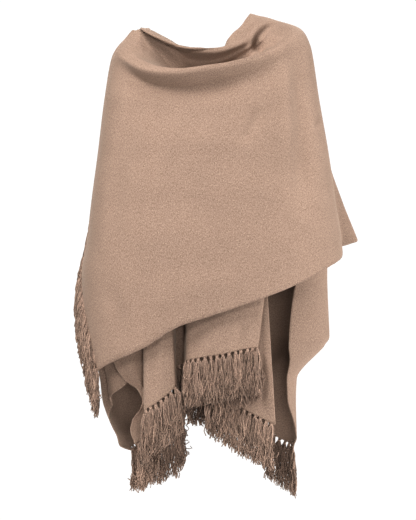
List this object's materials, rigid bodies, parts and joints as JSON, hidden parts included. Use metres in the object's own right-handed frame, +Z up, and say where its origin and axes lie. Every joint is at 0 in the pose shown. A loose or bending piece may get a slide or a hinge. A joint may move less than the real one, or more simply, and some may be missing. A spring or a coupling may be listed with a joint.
{
  "type": "andean poncho",
  "caption": "Open-front woollen wrap with knotted fringed ends, hanging as worn, one front thrown across the chest and over the opposite shoulder.",
  "frame": {"origin": "middle of the wearer's shoulders, where the cloth is carried", "axes": "+Z up, the front of the garment faces -Y, +X is the wearer's left side"},
  "size_m": [0.6392, 0.3483, 1.1117],
  "materials": {
    "felted_wool": "felted melange wool with a soft raised nap",
    "fringe_yarn": "loose twisted wool yarn"
  },
  "bodies": {
    "root": {"wrap_panel": "felted_wool", "under_panel": "felted_wool", "back_panel": "felted_wool", "wrap_fringe": "fringe_yarn", "under_fringe": "fringe_yarn", "back_fringe": "fringe_yarn"}
  },
  "joints": []
}
